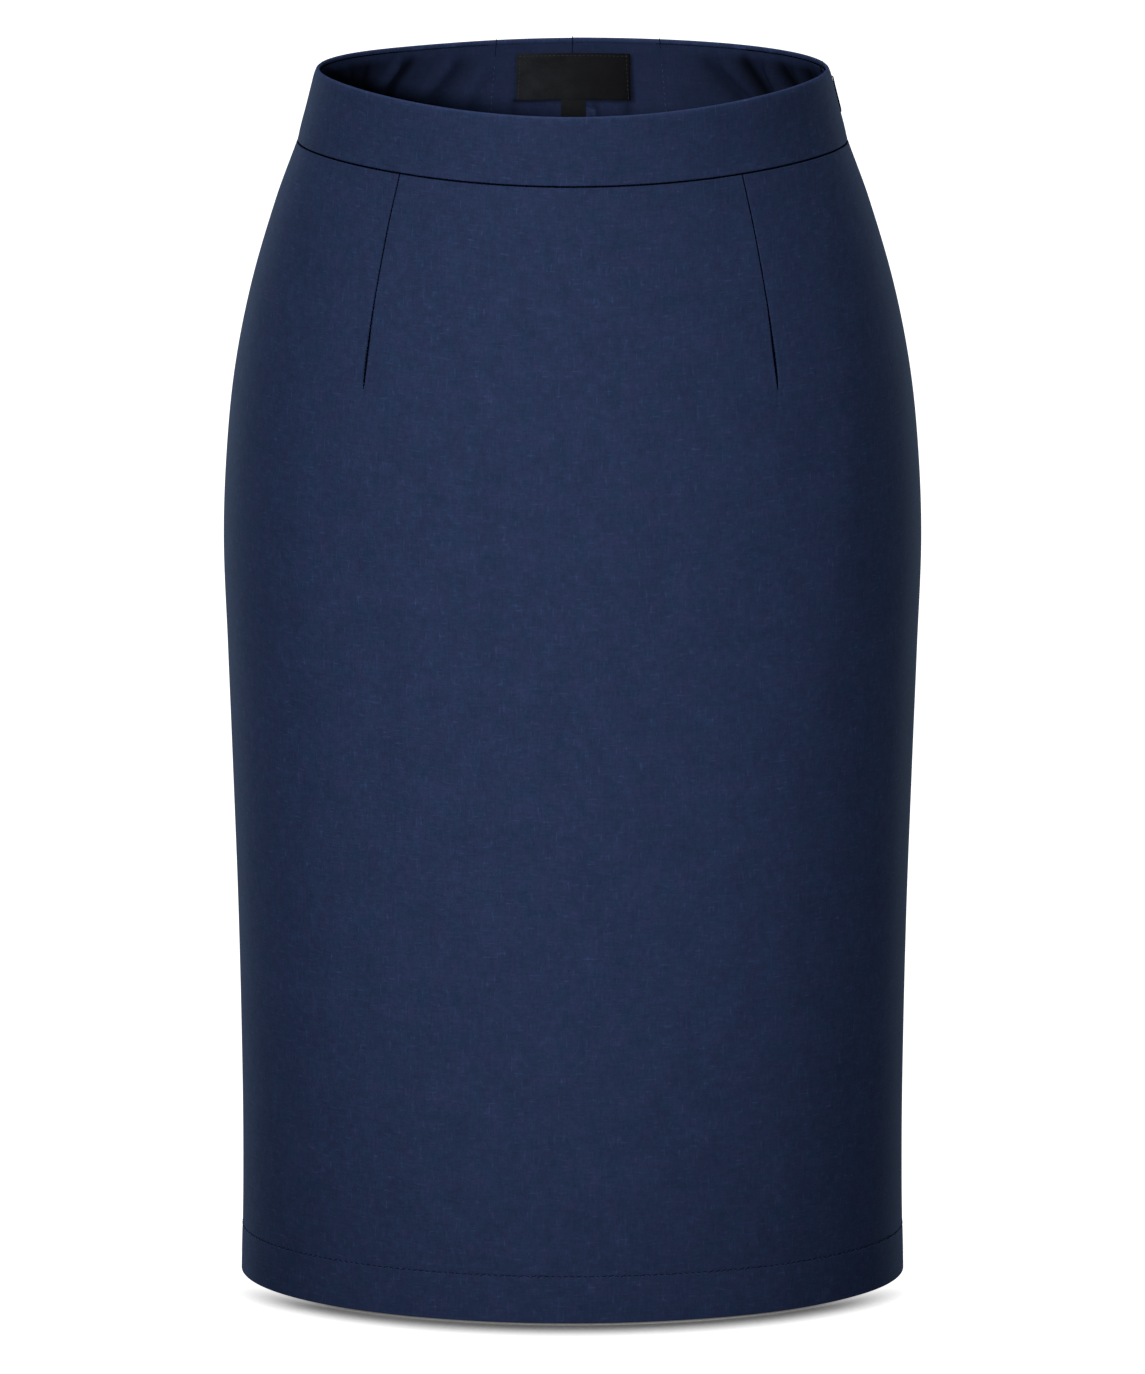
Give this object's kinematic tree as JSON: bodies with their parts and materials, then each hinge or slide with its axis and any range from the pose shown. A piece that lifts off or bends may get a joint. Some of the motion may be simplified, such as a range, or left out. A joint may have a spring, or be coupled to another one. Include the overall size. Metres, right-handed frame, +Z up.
{
  "type": "pencil skirt",
  "caption": "Knee-length pencil skirt in navy suiting, with a contour waistband, waist darts, a back vent and a concealed side zip, held out as if worn.",
  "frame": {"origin": "middle of the waistband, half way down the band at its side, where the wearer's waist holds the skirt", "axes": "+Z up towards the waist opening, -Y out of the front, +X towards the wearer's left side, which has the zip"},
  "size_m": [0.3626, 0.2546, 0.6401],
  "materials": {
    "suiting": "matte navy suiting with a fine melange weave",
    "facing": "matte navy facing cloth",
    "label": "black woven damask, plain",
    "zip_tape": "navy woven zip tape",
    "zip_metal": "navy enamel"
  },
  "bodies": {
    "skirt": {"front_panel": "suiting", "back_panel_left": "suiting", "back_panel_right": "suiting", "waistband_front": "suiting", "waistband_back_left": "suiting", "waistband_back_right": "suiting", "facing_front": "facing", "facing_back_left": "facing", "facing_back_right": "facing", "label": "label", "size_tab": "label", "zip_tape_front": "zip_tape", "zip_tape_back": "zip_tape", "zip_slider": "zip_metal"},
    "pull_tab": {"zip_pull": "zip_metal"}
  },
  "joints": [
    {"name": "zip_pull_hinge", "type": "hinge", "parent": "skirt", "child": "pull_tab", "pos_m": [0.13465, 0.01832, 0.00885], "axis": [0.2144, -0.9758, 0.0425], "range_deg": [0, 165]}
  ]
}
